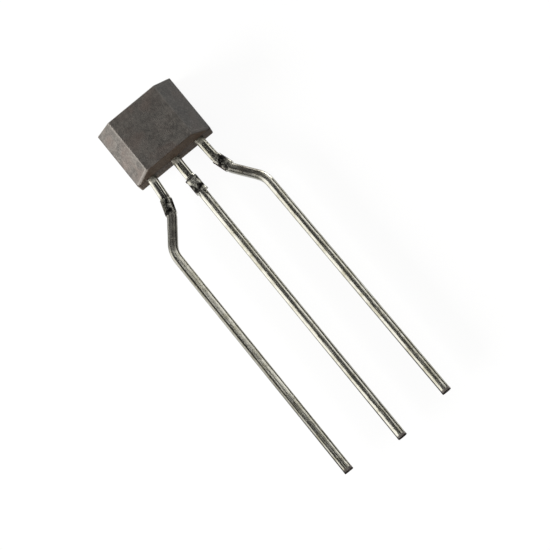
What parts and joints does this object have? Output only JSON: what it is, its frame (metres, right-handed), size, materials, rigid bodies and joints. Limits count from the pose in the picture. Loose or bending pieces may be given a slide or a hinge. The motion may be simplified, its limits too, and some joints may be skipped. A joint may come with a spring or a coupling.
{
  "type": "magnetic sensor",
  "caption": "Flat moulded Hall-effect magnetic sensor with a bevelled sensing face and solder leads, the outer ones formed to a wider pitch.",
  "frame": {"origin": "on the flat back face of the moulded body, behind the middle of the Hall chip", "axes": "+Z out of the bevelled sensing face, -Y along the leads towards their tips, +X towards the output lead"},
  "size_m": [0.0054, 0.018, 0.0015],
  "materials": {
    "epoxy": "matte moulded epoxy, dark warm grey, with a fine eroded texture from the mould",
    "tinned_lead": "bright tin plate over copper alloy, slightly warm, dull on the sheared stubs",
    "silicon": "polished silicon, dark blue grey",
    "glue": "cured silver-filled epoxy, pale grey",
    "gold_wire": "drawn gold, smooth"
  },
  "bodies": {
    "root": {"molded_body": "epoxy", "supply_lead": "tinned_lead", "ground_lead": "tinned_lead", "output_lead": "tinned_lead", "hall_chip": "silicon", "chip_adhesive": "glue", "supply_bond_wire": "gold_wire", "output_bond_wire": "gold_wire", "ground_bond_wire": "gold_wire"}
  },
  "joints": []
}
